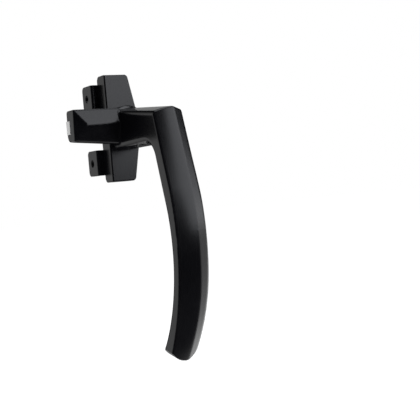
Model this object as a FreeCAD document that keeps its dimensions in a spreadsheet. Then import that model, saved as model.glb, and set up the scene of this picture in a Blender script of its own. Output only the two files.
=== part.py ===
import FreeCAD, Part
import math
import os
import re
import Sketcher
from FreeCAD import Placement, Rotation, Vector

# Seven-shaped casement handle: a die-cast base with a side-fixing bracket, and a cranked lever
# whose nose carries a nylon pad. Millimetres. X is across the window and the nose points to -X,
# +Y goes into the sash, +Z is up. The origin is on the lever's turning axis, on the plane where
# the bracket's back rests on the sash.

doc = FreeCAD.newDocument("seven_shaped_handle")

# ---------------------------------------------------------------- driving dimensions

SIZES = [
    # base casting
    ("base_height", 56.6, "whole height of the base"),
    ("base_left", 9.5, "pivot axis to the straight left side"),
    ("base_right", 9.6, "pivot axis to the right-hand point at mid height"),
    ("base_end_right", 4.1, "pivot axis to the right side at the two ends"),
    ("base_depth", 9.5, "depth of the base, back to front face"),
    ("base_back_round", 2.8, "rounding of the two ends at the back"),
    ("base_corner_round", 2.0, "rounding of the right-hand corners"),
    ("base_edge_break", 0.7, "small rounding round the front face"),
    # bracket
    ("bracket_thick", 2.0, "sheet thickness"),
    ("bracket_inset", 1.3, "plate edge inside the base outline"),
    ("ear_stand_off", 3.8, "outer face of the ears outside the base's left side"),
    ("ear_depth", 12.3, "reach of the ears from the front of the sheet"),
    ("ear_height", 13.6, "height of each ear"),
    ("ear_corner_round", 2.4, "rounding of the ears' back corners"),
    ("ear_lap", 0.5, "how far an ear's strip laps into the plate"),
    ("bend_outside", 1.2, "outer radius of the bends"),
    ("bend_inside", 0.8, "inner radius of the bends"),
    ("ear_hole_pitch", 34.8, "distance between the two side screw holes"),
    ("ear_hole_radius", 2.1, "radius of a side screw hole"),
    ("ear_hole_back", 4.9, "side screw holes behind the sash plane"),
    # bracket screws
    ("bracket_screw_pitch", 41.0, "distance between the two bracket screws"),
    ("bracket_screw_side", 2.0, "bracket screws left of the pivot axis"),
    ("screw_radius", 1.5, "bracket screw thread radius"),
    ("screw_head_radius", 2.8, "bracket screw head radius"),
    ("screw_head_depth", 1.5, "bracket screw countersink depth"),
    ("screw_length", 8.0, "bracket screw overall length"),
    ("screw_tip_length", 1.05, "length of the screw's pointed end"),
    ("screw_tip_radius", 0.6, "radius left at that end"),
    ("screw_tip_gap", 0.5, "free depth under the screw in its hole"),
    ("screw_recess", 0.9, "depth of the cross recess"),
    ("recess_long", 3.4, "length of each arm of the cross recess"),
    ("recess_wide", 0.8, "width of each arm of the cross recess"),
    # shaft, bush and washers
    ("shaft_radius", 3.0, "turning shaft radius"),
    ("running_gap", 0.05, "radial clearance of the shaft in the bush"),
    ("bush_wall", 0.95, "wall of the bush"),
    ("bush_flange_radius", 5.3, "radius of the bush flange"),
    ("bush_flange_thick", 0.8, "thickness of the bush flange"),
    ("lever_gap", 1.0, "gap between the base front and the lever"),
    ("thrust_washer_radius", 7.0, "outer radius of the thrust washer"),
    ("thrust_washer_thick", 0.8, "thickness of the thrust washer"),
    ("shaft_in_lever", 11.5, "length of shaft held in the hub"),
    ("shaft_chamfer", 0.5, "chamfer at the shaft's front end"),
    ("shaft_end", 0.5, "shaft standing behind the clip"),
    ("flat_depth", 0.6, "depth of the flats on the shaft"),
    ("flat_spare", 0.4, "flat longer than the locking screw is wide, each way"),
    ("fine_chamfer", 0.2, "chamfer on small turned pieces"),
    ("washer_bore_gap", 0.1, "radial clearance of the loose washers on the shaft"),
    # detent and retaining parts in the back pocket
    ("pocket_depth", 5.0, "depth of the round pocket in the back of the base"),
    ("plate_side_gap", 0.5, "radial gap between the detent plate and the pocket"),
    ("plate_lip", 0.3, "rim of the detent plate outside its end positions"),
    ("plate_thick", 2.0, "thickness of the detent plate"),
    ("plate_gap", 0.1, "gap between the pocket floor and the detent plate"),
    ("ball_radius", 1.1, "detent ball radius"),
    ("ball_wall", 0.35, "metal between a ball hole and the bush"),
    ("ball_lift", 0.7, "how far a ball stands out of the pocket floor"),
    ("ball_gap", 0.05, "radial clearance of a ball in its hole"),
    ("ball_hole_depth", 3.2, "depth of the ball holes"),
    ("groove_gap", 0.3, "gap between a ball and the detent groove floor"),
    ("groove_side_gap", 0.2, "radial gap between a ball and the groove's inner wall"),
    ("dimple_depth", 0.5, "extra depth of the end positions"),
    ("dimple_gap", 0.1, "radial gap between a ball and an end position"),
    ("spring_wire", 0.14, "detent spring wire radius"),
    ("spring_end_gap", 0.05, "gap at each end of a detent spring"),
    ("spring_turns", 3.0, "turns of a detent spring"),
    ("disc_spring_thick", 0.45, "thickness of the disc spring"),
    ("disc_spring_rise", 0.3, "free cone of the disc spring"),
    ("disc_spring_radius", 5.6, "outer radius of the disc spring"),
    ("flat_washer_thick", 0.6, "thickness of the plain washer"),
    ("flat_washer_radius", 5.6, "outer radius of the plain washer"),
    ("clip_thick", 0.6, "thickness of the retaining clip"),
    ("clip_radius", 4.6, "outer radius of the retaining clip"),
    ("clip_groove", 0.6, "depth of the clip groove in the shaft"),
    ("clip_mouth", 3.0, "width of the clip's opening"),
    ("stop_pin_radius", 0.9, "stop pin radius"),
    ("stop_pin_ring", 8.5, "pivot axis to the stop pin"),
    ("stop_pin_out", 1.9, "stop pin standing out of the base"),
    ("stop_pin_in", 2.8, "stop pin held in the base"),
    ("stop_groove_depth", 1.5, "depth of the stop groove in the hub"),
    ("stop_groove_gap", 0.3, "clearance round the stop pin"),
    # lever hub and nose
    ("hub_radius", 11.4, "radius of the lever's round hub"),
    ("hub_depth", 6.0, "depth of the round hub"),
    ("hub_round", 2.0, "rounding of the hub's front edge"),
    ("nose_reach", 33.3, "pivot axis to the end of the nose"),
    ("nose_top", 9.8, "top of the nose above the pivot axis"),
    ("nose_bottom_tip", 6.5, "underside of the nose at its end, below the axis"),
    ("nose_bottom_root", 8.9, "underside of the nose at the hub, below the axis"),
    ("nose_wall", 9.4, "straight depth of the nose"),
    ("nose_roof", 2.8, "rise of the hipped front of the nose"),
    ("nose_ridge_up", 1.6, "height of the ridge line above the axis"),
    ("nose_hip_run", 6.9, "length of the hip at the end of the nose"),
    ("nose_bury", 1.0, "how far the nose is let into the neck"),
    ("nose_back_round", 3.3, "rounding of the nose's lower back edge"),
    ("nose_top_round", 1.4, "rounding of the nose's upper back edge"),
    ("pad_length", 18.0, "length of the nylon pad"),
    ("pad_low", 2.5, "lower side of the pad below the axis"),
    ("pad_high", 4.4, "upper side of the pad above the axis"),
    ("pad_slot_depth", 4.2, "depth of the pad's slot"),
    ("pad_proud", 0.4, "pad standing behind the nose"),
    ("pad_edge_round", 0.5, "rounding of the pad's running face"),
    ("pad_fit", 0.05, "clearance of the pad in its slot"),
    ("pad_pin_radius", 1.0, "radius of the spring pin through the pad"),
    ("pad_pin_from_end", 9.5, "spring pin to the end of the nose"),
    ("pad_pin_depth", 3.0, "spring pin hole in the casting beyond the slot"),
    ("pad_pin_bore", 0.5, "bore radius of the rolled spring pin"),
    ("pad_pin_sunk", 0.3, "spring pin below the lever's back face"),
    ("pad_pin_end_gap", 0.2, "free depth in front of the spring pin"),
    ("pad_pin_lead", 0.3, "length of the tapered ends of the spring pin"),
    ("pad_pin_taper", 0.15, "taper of those ends"),
    ("grub_radius", 2.0, "radius of the locking screw in the hub"),
    ("grub_length", 6.2, "length of the locking screw"),
    ("grub_forward", 5.6, "locking screw in front of the lever's back face"),
    ("grub_socket_width", 2.0, "width across flats of its socket"),
    ("grub_socket_depth", 2.2, "depth of its socket"),
    # neck and grip; reaches are measured forward from the front face of the base
    ("grip_half_width", 8.0, "half the width of the neck and grip"),
    ("crown_side", 2.6, "crown line of the grip right of the axis"),
    ("crown_rise", 1.8, "crown line in front of the grip's edges"),
    ("crown_top_root", 1.3, "crown above the neck's edges at the base"),
    ("crown_top_end", 2.2, "crown above the neck's edges at the grip"),
    ("neck_top_root", 9.0, "top of the neck above the axis at the base"),
    ("neck_top_end", 3.6, "top of the grip above the axis"),
    ("neck_bottom", 11.2, "underside of the neck below the axis"),
    ("grip_top_reach", 50.0, "reach of the grip's front at its top"),
    ("grip_straight_reach", 60.7, "reach of the grip's front where its bow starts"),
    ("grip_straight_drop", 35.0, "drop to where the front's bow starts"),
    ("grip_end_reach", 43.5, "reach of the grip's front at its lower end"),
    ("grip_front_bulge", 9.8, "rise of the front's bow over its chord"),
    ("arch_start_reach", 47.0, "reach of the grip's back at the foot of the arch"),
    ("arch_start_drop", 19.3, "drop to the foot of the arch"),
    ("arch_end_reach", 37.6, "reach at which the arch meets the neck's underside"),
    ("arch_bulge", 2.27, "bulge of the arch over its chord"),
    ("grip_back_reach", 53.6, "reach of the grip's back where its bow starts"),
    ("grip_back_drop", 43.6, "drop to where the back's bow starts"),
    ("grip_back_end_reach", 30.1, "reach of the grip's back at its lower end"),
    ("grip_back_bulge", 11.2, "rise of the back's bow over its chord"),
    ("grip_drop", 120.3, "drop of the lowest point of the grip"),
    ("tip_spare", 1.6, "extra length before the end is cut"),
    ("cut_over", 1.0, "how far a cutting shape runs past the metal"),
    ("cut_beyond", 20.0, "how far the end cut runs past the grip"),
    ("tip_left_rise", 6.1, "rise of the end at the left edge"),
    ("tip_low_in_side", 3.6, "left end of the lowest round, left of the axis"),
    ("tip_low_in_rise", 1.3, "its rise above the drop"),
    ("tip_low_out_side", 2.2, "right end of the lowest round, right of the axis"),
    ("tip_low_out_rise", 0.8, "its rise above the drop"),
    ("tip_low_bulge", 0.6, "bulge of the lowest round over its chord"),
    ("tip_shoulder_side", 6.0, "start of the right shoulder, right of the axis"),
    ("tip_shoulder_rise", 10.6, "its rise above the drop"),
    ("tip_side_rise", 42.3, "rise at which the shoulder meets the right side"),
    ("tip_shoulder_bulge", 0.68, "bulge of the shoulder over its chord"),
]

sheet = doc.addObject("Spreadsheet::Sheet", "Sizes")
for row, (alias, value, meaning) in enumerate(SIZES, start=1):
    sheet.set(f"A{row}", meaning)
    sheet.set(f"B{row}", str(value))
    sheet.setAlias(f"B{row}", alias)
doc.recompute()

ALIASES = {alias for alias, value, meaning in SIZES}

# Radii and planes that several pieces share, as sums of the driving dimensions. A name may use
# the ones below it. The planes are distances from the sash plane towards the room.
DERIVED = {
    "pocket_radius": "(plate_radius + plate_side_gap)",
    "plate_radius": "(ball_ring_radius + ball_radius + dimple_gap + plate_lip)",
    "ball_ring_radius": "(shaft_radius + running_gap + bush_wall + ball_wall + ball_gap"
                        " + ball_radius)",
    "quarter_sagitta": "(1 - cos(45))",
    "base_back": "bracket_thick",
    "base_front": "(bracket_thick + base_depth)",
    "pocket_floor": "(bracket_thick + pocket_depth)",
    "lever_back": "(bracket_thick + base_depth + lever_gap)",
    "plate_front": "(bracket_thick + pocket_depth - plate_gap)",
    "plate_back": "(bracket_thick + pocket_depth - plate_gap - plate_thick)",
    "disc_back": "(bracket_thick + pocket_depth - plate_gap - plate_thick"
                 " - disc_spring_thick - disc_spring_rise)",
    "washer_back": "(bracket_thick + pocket_depth - plate_gap - plate_thick"
                   " - disc_spring_thick - disc_spring_rise - flat_washer_thick)",
    "shaft_back": "(bracket_thick + pocket_depth - plate_gap - plate_thick"
                  " - disc_spring_thick - disc_spring_rise - flat_washer_thick - clip_thick"
                  " - shaft_end)",
}


def cells(text):
    """Turn plain size names into references to the spreadsheet."""
    for name, meaning in DERIVED.items():
        text = re.sub(rf"\b{name}\b", meaning, text)
    return re.sub(r"[a-z]+(?:_[a-z]+)+", lambda found: "Sizes." + found.group(0), text)


def size(text):
    """Value in millimetres of an expression on the size names."""
    return float(sheet.evalExpression(cells(text)))


def bind(thing, **properties):
    """Bind properties to expressions; a double underscore stands for a dot."""
    for name, text in properties.items():
        thing.setExpression(name.replace("__", "."), cells(text))


def place(thing, x="0", y="0", z="0", turn=None):
    """Put a sub-part or primitive at a place given by expressions, turned by a rotation."""
    if turn is not None:
        thing.Placement = Placement(Vector(), turn)
    bind(thing, Placement__Base__x=x, Placement__Base__y=y, Placement__Base__z=z)
    return thing


# ---------------------------------------------------------------- sketches and features

PLANES = {"XY": "XY_Plane", "XZ": "XZ_Plane", "YZ": "YZ_Plane"}


def new_body(node):
    body = doc.addObject("PartDesign::Body", node)
    body.Label = node
    return body


def new_sketch(body, name, plane, offset="0"):
    """Empty sketch on one of the body's own origin planes, moved along the plane's normal."""
    sketch = body.newObject("Sketcher::SketchObject", name)
    support = next(item for item in body.Origin.OriginFeatures if item.Role == PLANES[plane])
    sketch.AttachmentSupport = [(support, "")]
    sketch.MapMode = "FlatFace"
    bind(sketch, AttachmentOffset__Base__z=offset)
    return sketch


def fix_point(sketch, geometry, point, u, v):
    """Tie one sketch point to expressions for its two coordinates."""
    for kind, text in (("DistanceX", u), ("DistanceY", v)):
        index = sketch.addConstraint(
            Sketcher.Constraint(kind, -1, 1, geometry, point, size(text)))
        sketch.setExpression(f"Constraints[{index}]", cells(text))


def arc_through(start, end, bulge):
    """Arc from start to end that rises by bulge to the left of the line between them."""
    chord = end - start
    middle = (start + end) * 0.5
    left = Vector(-chord.y, chord.x, 0).normalize()
    return Part.Arc(start, middle + left * bulge, end)


def draw_outline(sketch, corners, arcs=None):
    """Closed outline through corners given as pairs of expressions.

    arcs maps the number of an edge to the name of its bulge: that edge is an arc, and its
    radius follows from its two ends and the bulge.
    """
    arcs = arcs or {}
    points = [Vector(size(u), size(v), 0) for u, v in corners]
    for index, (u, v) in enumerate(corners):
        start = points[index]
        following = (index + 1) % len(corners)
        end = points[following]
        if index in arcs:
            sketch.addGeometry(arc_through(start, end, size(arcs[index])), False)
        else:
            sketch.addGeometry(Part.LineSegment(start, end), False)
    for index, (u, v) in enumerate(corners):
        following = (index + 1) % len(corners)
        tail = 2
        head = 1
        if index in arcs and size(arcs[index]) > 0:
            tail = 1
        if following in arcs and size(arcs[following]) > 0:
            head = 2
        sketch.addConstraint(Sketcher.Constraint("Coincident", index, tail, following, head))
        fix_point(sketch, following, head, *corners[following])
    for index, bulge in arcs.items():
        (u1, v1), (u2, v2) = corners[index], corners[(index + 1) % len(corners)]
        squared = f"((({u1}) - ({u2}))^2 + (({v1}) - ({v2}))^2)"
        rise = f"abs({bulge})"
        radius = f"({squared} / 4 + {rise}^2) / (2 * {rise})"
        constraint = sketch.addConstraint(Sketcher.Constraint("Radius", index, size(radius)))
        sketch.setExpression(f"Constraints[{constraint}]", cells(radius))
    return sketch


def draw_circles(sketch, circles):
    """Circles given as (centre u, centre v, radius), all expressions."""
    for u, v, radius in circles:
        shape = Part.Circle(Vector(size(u), size(v), 0), Vector(0, 0, 1), size(radius))
        index = sketch.addGeometry(shape, False)
        fix_point(sketch, index, 3, u, v)
        constraint = sketch.addConstraint(Sketcher.Constraint("Radius", index, size(radius)))
        sketch.setExpression(f"Constraints[{constraint}]", cells(radius))
    return sketch


def pad(body, sketch, length, name):
    feature = body.newObject("PartDesign::Pad", name)
    feature.Profile = sketch
    bind(feature, Length=length)
    doc.recompute()
    return feature


def pocket(body, sketch, name, depth=None, along_normal=False):
    """Pocket that must take material away; with no depth it goes right through."""
    before = body.Shape.Volume
    feature = body.newObject("PartDesign::Pocket", name)
    feature.Profile = sketch
    feature.Reversed = along_normal
    if depth is None:
        feature.Type = "ThroughAll"
    else:
        bind(feature, Length=depth)
    doc.recompute()
    if not body.Shape.Volume < before:
        raise RuntimeError(f"{name} of {body.Label} cuts nothing")
    return feature


def round_edges(body, name, radius, chosen):
    """Fillet every edge of the body's present shape for which chosen(edge) is true."""
    base = body.Tip
    picked = [f"Edge{number}" for number, edge in enumerate(base.Shape.Edges, start=1)
              if chosen(edge)]
    if not picked:
        raise RuntimeError(f"{name} of {body.Label} finds no edge")
    feature = body.newObject("PartDesign::Fillet", name)
    feature.Base = (base, picked)
    bind(feature, Radius=radius)
    doc.recompute()
    if "Invalid" in feature.State or not feature.Shape.isValid():
        raise RuntimeError(f"{name} of {body.Label} fails")
    return feature


def near(value, text, margin=0.01):
    return abs(value - size(text)) < margin


def spans(edge, axis):
    """Length of the edge's box along one axis, 0, 1 or 2."""
    box = edge.BoundBox
    return (box.XLength, box.YLength, box.ZLength)[axis]


def turned(node, corners, x="0", z="0"):
    """Piece turned about a line along Y, from (radius, y) corners of its half section."""
    body = new_body(node)
    sketch = draw_outline(new_sketch(body, node + "_section", "XY"), corners)
    feature = body.newObject("PartDesign::Revolution", node + "_turning")
    feature.Profile = sketch
    feature.ReferenceAxis = (sketch, ["V_Axis"])
    feature.Angle = 360.0
    doc.recompute()
    return place(body, x=x, z=z)


# ---------------------------------------------------------------- base

def make_base():
    """Zinc casting: a tall plate with a straight left side and a pointed right side."""
    body = new_body("base_body")
    outline = draw_outline(new_sketch(body, "base_outline", "XZ", "base_back"), [
        ("-base_left", "base_height / 2"),
        ("-base_left", "-base_height / 2"),
        ("base_end_right", "-base_height / 2"),
        ("base_right", "0"),
        ("base_end_right", "base_height / 2"),
    ])
    pad(body, outline, "base_depth", "base_plate")
    round_edges(body, "base_corners", "base_corner_round", lambda edge: (
        near(spans(edge, 1), "base_depth") and near(edge.CenterOfMass.x, "base_end_right")))
    round_edges(body, "base_back_ends", "base_back_round", lambda edge: (
        near(edge.CenterOfMass.y, "-base_back") and spans(edge, 2) < 0.01))
    round_edges(body, "base_front_edge", "base_edge_break", lambda edge: (
        near(edge.CenterOfMass.y, "-base_front") and spans(edge, 1) < 0.01))

    back = "base_back"
    mechanism = draw_circles(new_sketch(body, "mechanism_outline", "XZ", back),
                             [("0", "0", "pocket_radius")])
    pocket(body, mechanism, "mechanism_pocket", "pocket_depth", along_normal=True)
    bore = draw_circles(new_sketch(body, "bush_outline", "XZ", back),
                        [("0", "0", "shaft_radius + running_gap + bush_wall")])
    pocket(body, bore, "bush_bore", along_normal=True)
    seat = draw_circles(new_sketch(body, "flange_outline", "XZ", "base_front"),
                        [("0", "0", "bush_flange_radius")])
    pocket(body, seat, "flange_seat", "bush_flange_thick")
    balls = draw_circles(new_sketch(body, "ball_hole_outline", "XZ", "pocket_floor"), [
        (side + "ball_ring_radius", "0", "ball_radius + ball_gap") for side in ("-", "")])
    pocket(body, balls, "ball_holes", "ball_hole_depth", along_normal=True)
    screws = draw_circles(new_sketch(body, "screw_hole_outline", "XZ", back), [
        ("-bracket_screw_side", side + "bracket_screw_pitch / 2", "screw_radius")
        for side in ("-", "")])
    pocket(body, screws, "screw_holes", "screw_length - bracket_thick + screw_tip_gap", along_normal=True)
    stop = draw_circles(new_sketch(body, "stop_hole_outline", "XZ", "base_front"),
                        [("0", "stop_pin_ring", "stop_pin_radius")])
    pocket(body, stop, "stop_hole", "stop_pin_in")
    return body


# ---------------------------------------------------------------- bracket

def make_bracket():
    """Pressed steel: a flat plate behind the base with two ears bent back round the sash."""
    body = new_body("mounting_bracket")
    inset = "bracket_inset"
    plate = draw_outline(new_sketch(body, "plate_outline", "XZ"), [
        (f"-base_left + {inset}", f"base_height / 2 - 2 * {inset}"),
        (f"-base_left + {inset}", f"-base_height / 2 + 2 * {inset}"),
        (f"base_end_right - {inset}", f"-base_height / 2 + 2 * {inset}"),
        (f"base_right - {inset}", "0"),
        (f"base_end_right - {inset}", f"base_height / 2 - 2 * {inset}"),
    ])
    pad(body, plate, "bracket_thick", "plate")
    outer = "-base_left - ear_stand_off"
    for name, low in (("upper", "ear_hole_pitch / 2 - ear_height / 2"),
                      ("lower", "-ear_hole_pitch / 2 - ear_height / 2")):
        ear = draw_outline(new_sketch(body, name + "_ear_outline", "XY", low), [
            (f"-base_left + {inset} + ear_lap", "0"),
            (f"{outer} + bracket_thick", "0"),
            (f"{outer} + bracket_thick", "ear_depth - bracket_thick"),
            (outer, "ear_depth - bracket_thick"),
            (outer, "-bracket_thick"),
            (f"-base_left + {inset} + ear_lap", "-bracket_thick"),
        ])
        pad(body, ear, "ear_height", name + "_ear")
    round_edges(body, "ear_corners", "ear_corner_round", lambda edge: (
        near(edge.CenterOfMass.y, "ear_depth - bracket_thick")
        and near(spans(edge, 0), "bracket_thick") and spans(edge, 2) < 0.01))
    round_edges(body, "bends_outside", "bend_outside", lambda edge: (
        near(edge.CenterOfMass.x, outer) and near(edge.CenterOfMass.y, "-bracket_thick")))
    round_edges(body, "bends_inside", "bend_inside", lambda edge: (
        near(edge.CenterOfMass.x, outer + " + bracket_thick")
        and abs(edge.CenterOfMass.y) < 0.01 and near(spans(edge, 2), "ear_height")))

    holes = draw_circles(new_sketch(body, "ear_hole_outline", "YZ", outer), [
        ("ear_hole_back", side + "ear_hole_pitch / 2", "ear_hole_radius") for side in ("-", "")])
    pocket(body, holes, "ear_holes", "bracket_thick", along_normal=True)
    for name, side in (("upper", ""), ("lower", "-")):
        before = body.Shape.Volume
        cone = body.newObject("PartDesign::SubtractiveCone", name + "_countersink")
        cone.Placement = Placement(Vector(), Rotation(Vector(1, 0, 0), 90))
        bind(cone, Radius1="screw_head_radius", Radius2="screw_radius",
             Height="screw_head_depth", Placement__Base__x="-bracket_screw_side",
             Placement__Base__z=side + "bracket_screw_pitch / 2")
        doc.recompute()
        if not body.Shape.Volume < before:
            raise RuntimeError("a countersink cuts nothing")
    screws = draw_circles(new_sketch(body, "screw_clear_outline", "XZ"), [
        ("-bracket_screw_side", side + "bracket_screw_pitch / 2", "screw_radius")
        for side in ("-", "")])
    pocket(body, screws, "screw_clear_holes", along_normal=True)
    return body


def make_bracket_screw(node, side):
    """Countersunk screw with a cross recess, driven in from the back of the bracket."""
    body = turned(node, [
        ("0", "0"),
        ("screw_head_radius", "0"),
        ("screw_radius", "-screw_head_depth"),
        ("screw_radius", "-screw_length + screw_tip_length"),
        ("screw_tip_radius", "-screw_length"),
        ("0", "-screw_length"),
    ], x="-bracket_screw_side", z=side + "bracket_screw_pitch / 2")
    long, short = "recess_long / 2", "recess_wide / 2"
    for name, u, v in (("wide", long, short), ("tall", short, long)):
        slot = draw_outline(new_sketch(body, name + "_slot", "XZ"), [
            (f"-({u})", f"-({v})"), (u, f"-({v})"), (u, v), (f"-({u})", v)])
        pocket(body, slot, name + "_recess", "screw_recess", along_normal=True)
    return body


# ---------------------------------------------------------------- shaft, bush, washers

def make_shaft():
    """Steel turning shaft, pressed into the hub, with a clip groove and two flats."""
    front = "-(lever_back + shaft_in_lever)"
    slim = "shaft_radius - clip_groove"
    body = turned("pivot_shaft", [
        ("0", front),
        ("shaft_radius - shaft_chamfer", front),
        ("shaft_radius", front + " + shaft_chamfer"),
        ("shaft_radius", "-washer_back"),
        (slim, "-washer_back"),
        (slim, "-(washer_back - clip_thick)"),
        ("shaft_radius", "-(washer_back - clip_thick)"),
        ("shaft_radius", "-shaft_back - fine_chamfer"),
        ("shaft_radius - fine_chamfer", "-shaft_back"),
        ("0", "-shaft_back"),
    ])
    flats = {
        "grub_flat": ("-(lever_back + grub_forward) - grub_radius - flat_spare",
                      "-(lever_back + grub_forward) + grub_radius + flat_spare", "-"),
        "plate_flat": ("-plate_front", "-shaft_back", ""),
    }
    for name, (low, high, side) in flats.items():
        near_edge = side + "(shaft_radius - flat_depth)"
        far_edge = side + "(shaft_radius + cut_over)"
        start = "-shaft_radius - cut_over"
        outline = draw_outline(new_sketch(body, name + "_outline", "YZ", start), [
            (low, near_edge), (high, near_edge), (high, far_edge), (low, far_edge)])
        pocket(body, outline, name, "2 * (shaft_radius + cut_over)", along_normal=True)
    return body


def make_bush():
    """Flanged nylon bush that lines the bore of the base."""
    inner = "shaft_radius + running_gap"
    outer = "shaft_radius + running_gap + bush_wall"
    return turned("pivot_bush", [
        (inner, "-pocket_floor"),
        (outer, "-pocket_floor"),
        (outer, "-base_front + bush_flange_thick"),
        ("bush_flange_radius", "-base_front + bush_flange_thick"),
        ("bush_flange_radius", "-base_front"),
        (inner, "-base_front"),
    ])


def make_ring(node, inner, outer, low, high):
    """Plain flat ring round the turning axis, between two y values."""
    return turned(node, [(inner, low), (outer, low), (outer, high), (inner, high)])


def make_disc_spring():
    """Coned spring washer that takes up the end play of the shaft."""
    inner = "shaft_radius + washer_bore_gap"
    return turned("disc_spring", [
        (inner, "-plate_back"),
        ("disc_spring_radius", "-plate_back + disc_spring_rise"),
        ("disc_spring_radius", "-plate_back + disc_spring_rise + disc_spring_thick"),
        (inner, "-plate_back + disc_spring_thick"),
    ])


def y_cylinder(name, radius, low, length, angle=360, start=0, x="0", z="0"):
    """Cylinder, or a sector of one, along +Y. start is measured from +X towards -Z."""
    shape = doc.addObject("Part::Cylinder", name)
    shape.Angle = angle
    turn = Rotation(Vector(0, 1, 0), start).multiply(Rotation(Vector(1, 0, 0), -90))
    bind(shape, Radius=radius, Height=length)
    return place(shape, x=x, y=low, z=z, turn=turn)


def fuse(name, shapes):
    joined = doc.addObject("Part::MultiFuse", name)
    joined.Shapes = shapes
    return joined


def cut(name, base, tool):
    result = doc.addObject("Part::Cut", name)
    result.Base = base
    result.Tool = tool
    result.Label = name
    doc.recompute()
    if not result.Shape.Volume < base.Shape.Volume:
        raise RuntimeError(name + " cuts nothing")
    return result


def make_clip():
    """Retaining clip: a steel ring with one side open, snapped into the shaft's groove."""
    low = "-washer_back"
    disc = y_cylinder("clip_disc", "clip_radius", low, "clip_thick")
    through = "clip_thick + 2 * cut_over"
    start = low + " - cut_over"
    hole = y_cylinder("clip_hole", "shaft_radius - clip_groove", start, through)
    mouth = doc.addObject("Part::Box", "clip_mouth_box")
    bind(mouth, Length="clip_mouth", Width=through, Height="clip_radius + cut_over")
    place(mouth, x="-clip_mouth / 2", y=start, z="-clip_radius - cut_over")
    return cut("retaining_clip", disc, fuse("clip_opening", [hole, mouth]))


def make_detent_plate():
    """Steel plate keyed to the shaft: two quarter-turn grooves with a dimple at each end."""
    disc = y_cylinder("plate_disc", "plate_radius", "-plate_front", "plate_thick")
    groove_depth = "ball_lift - plate_gap + groove_gap"
    start = "-plate_front - cut_over"
    half_ball = size("(ball_radius + groove_gap) / ball_ring_radius")
    spare = math.degrees(math.asin(half_ball))
    tools = []
    for number, turn in enumerate((-180 - spare, -spare), start=1):
        sector = y_cylinder(f"groove_sector_{number}", "plate_radius + cut_over", start,
                            groove_depth + " + cut_over", angle=90 + 2 * spare, start=turn)
        core = y_cylinder(f"groove_core_{number}",
                          "ball_ring_radius - ball_radius - groove_side_gap",
                          start + " - cut_over", groove_depth + " + 3 * cut_over")
        tools.append(cut(f"groove_{number}", sector, core))
    for number, (x, z) in enumerate((("", "0"), ("-", "0"), ("0", ""), ("0", "-")), start=1):
        reach = "ball_ring_radius"
        tools.append(y_cylinder(
            f"dimple_{number}", "ball_radius + dimple_gap", start,
            groove_depth + " + dimple_depth + cut_over",
            x=x if x == "0" else x + reach, z=z if z == "0" else z + reach))
    shaft = y_cylinder("plate_bore", "shaft_radius", start, "plate_thick + 2 * cut_over")
    flat = doc.addObject("Part::Box", "plate_bore_flat")
    bind(flat, Length="2 * (shaft_radius + cut_over)", Width="plate_thick + 4 * cut_over",
         Height="flat_depth + cut_over")
    place(flat, x="-shaft_radius - cut_over", y=start + " - cut_over",
          z="shaft_radius - flat_depth")
    tools.append(cut("plate_keyed_bore", shaft, flat))
    return cut("detent_plate", disc, fuse("plate_cuts", tools))


def make_detent(name, side):
    """Steel ball and its coil spring in a blind hole of the base."""
    centre = "-(pocket_floor + ball_radius - ball_lift)"
    ball = doc.addObject("Part::Sphere", "detent_ball_" + name)
    ball.Label = "detent_ball_" + name
    bind(ball, Radius="ball_radius")
    place(ball, x=side + "ball_ring_radius", y=centre)

    bottom = "-(pocket_floor + ball_hole_depth)"
    foot = f"({bottom}) + spring_wire + spring_end_gap"
    length = f"({centre}) - ball_radius - spring_wire - spring_end_gap - ({foot})"
    helix = doc.addObject("Part::Helix", name + "_spring_line")
    bind(helix, Radius="ball_radius - 2 * spring_wire", Height=length,
         Pitch=f"({length}) / spring_turns")
    place(helix, x=side + "ball_ring_radius", y=foot, turn=Rotation(Vector(1, 0, 0), -90))
    wire = doc.addObject("Part::Circle", name + "_spring_wire")
    bind(wire, Radius="spring_wire")
    place(wire, x=side + "ball_ring_radius + ball_radius - 2 * spring_wire", y=foot)
    spring = doc.addObject("Part::Sweep", "detent_spring_" + name)
    spring.Label = "detent_spring_" + name
    spring.Sections = [wire]
    spring.Spine = (helix, ["Edge1"])
    spring.Solid = True
    spring.Frenet = True
    doc.recompute()
    return ball, spring


def make_stop_pin():
    """Short steel pin in the base that limits the lever to a quarter turn."""
    front = "-(base_front + stop_pin_out)"
    back = "-(base_front - stop_pin_in)"
    return turned("stop_pin", [
        ("0", front),
        ("stop_pin_radius - fine_chamfer", front),
        ("stop_pin_radius", front + " + fine_chamfer"),
        ("stop_pin_radius", back),
        ("0", back),
    ], z="stop_pin_ring")


# ---------------------------------------------------------------- lever

FRONT = "base_front + "


def grip_section(body, name, x, rise, lift_root, lift_end):
    """Side outline of neck and grip at one x; the crown stands out and up from the edges."""
    drop = "-(grip_drop + tip_spare)"
    corners = [
        ("-lever_back", f"neck_top_root + {lift_root}"),
        (f"-({FRONT}grip_top_reach + {rise})", f"neck_top_end + {lift_end}"),
        (f"-({FRONT}grip_straight_reach + {rise})", "-grip_straight_drop"),
        (f"-({FRONT}grip_end_reach + {rise})", drop),
        (f"-({FRONT}grip_back_end_reach)", drop),
        (f"-({FRONT}grip_back_reach)", "-grip_back_drop"),
        (f"-({FRONT}arch_start_reach)", "-arch_start_drop"),
        (f"-({FRONT}arch_end_reach)", "-neck_bottom"),
        ("-lever_back", "-neck_bottom"),
    ]
    sketch = new_sketch(body, name, "YZ", x)
    return draw_outline(sketch, corners, {
        2: "-grip_front_bulge", 4: "grip_back_bulge", 6: "arch_bulge"})


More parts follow.
